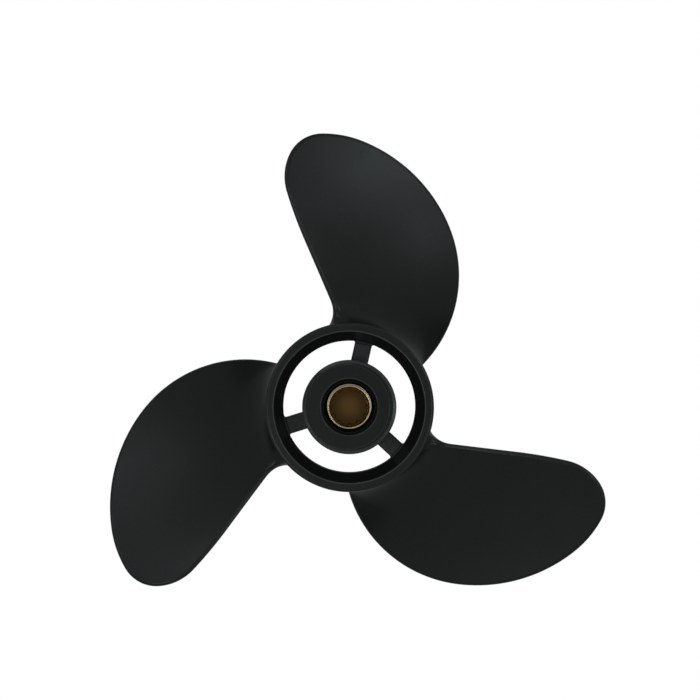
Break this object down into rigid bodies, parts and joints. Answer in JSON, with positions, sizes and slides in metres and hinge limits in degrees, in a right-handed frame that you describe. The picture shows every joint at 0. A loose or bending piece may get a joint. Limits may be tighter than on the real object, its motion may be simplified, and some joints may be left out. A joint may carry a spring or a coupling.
{
  "type": "outboard motor propeller",
  "caption": "Right-hand boat propeller: swept blades on an exhaust barrel, whose ribbed inner hub holds a rubber bush and a splined brass sleeve.",
  "frame": {"origin": "on the shaft axis, in the plane of the barrel's forward rim, on which the part stands", "axes": "+Z along the shaft, pointing aft; +Y along the first blade, seen from aft; the shaft turns the part clockwise seen from aft to drive ahead"},
  "size_m": [0.1785, 0.1642, 0.066],
  "materials": {
    "black_paint": "satin black paint on cast aluminium",
    "black_rubber": "matte moulded rubber",
    "brass": "turned and broached brass"
  },
  "bodies": {
    "root": {"propeller_casting": "black_paint", "rubber_bush": "black_rubber", "splined_sleeve": "brass"}
  },
  "joints": []
}
